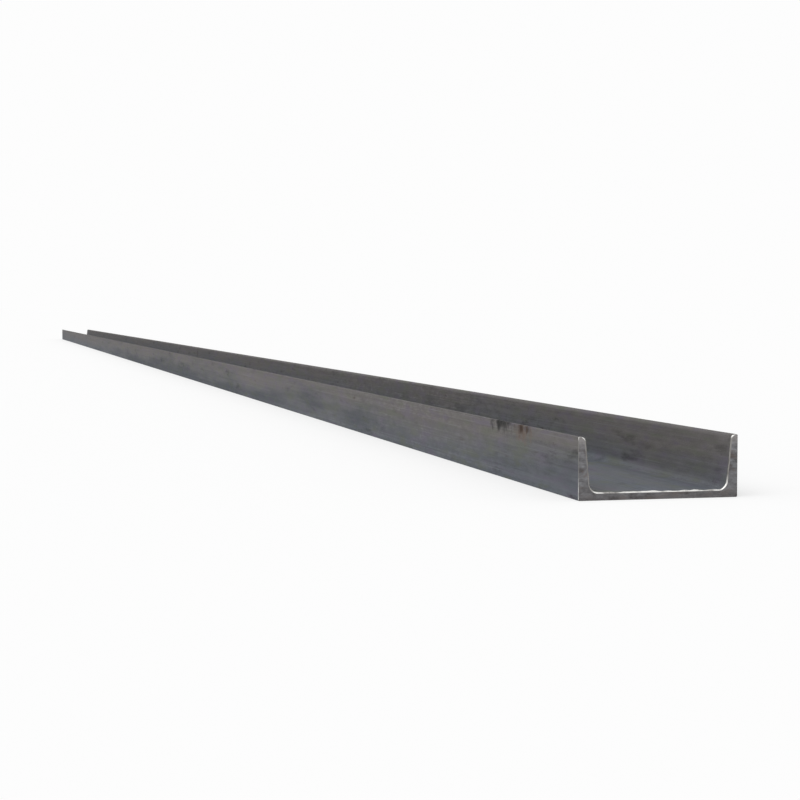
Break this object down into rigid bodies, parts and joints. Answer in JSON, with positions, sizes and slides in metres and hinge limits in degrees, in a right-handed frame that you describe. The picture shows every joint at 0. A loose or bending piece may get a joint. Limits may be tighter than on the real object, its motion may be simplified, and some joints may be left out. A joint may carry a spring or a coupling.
{
  "type": "steel channel section",
  "caption": "Straight bar of hot-rolled steel channel: a flat web and two tapered flanges with rounded roots and toes, sawn square at both ends, for frames, beams and supports.",
  "frame": {"origin": "middle of the back of the web, half-way along the bar, on the surface that the bar lies on", "axes": "+X across the section to one flange, +Y along the bar, +Z from the back of the web towards the flanges' tips"},
  "size_m": [0.2, 12, 0.075],
  "materials": {
    "mill_scale_steel": "hot-rolled, with dull blue-grey mill scale and traces of rust"
  },
  "bodies": {
    "root": {"channel": "mill_scale_steel"}
  },
  "joints": []
}
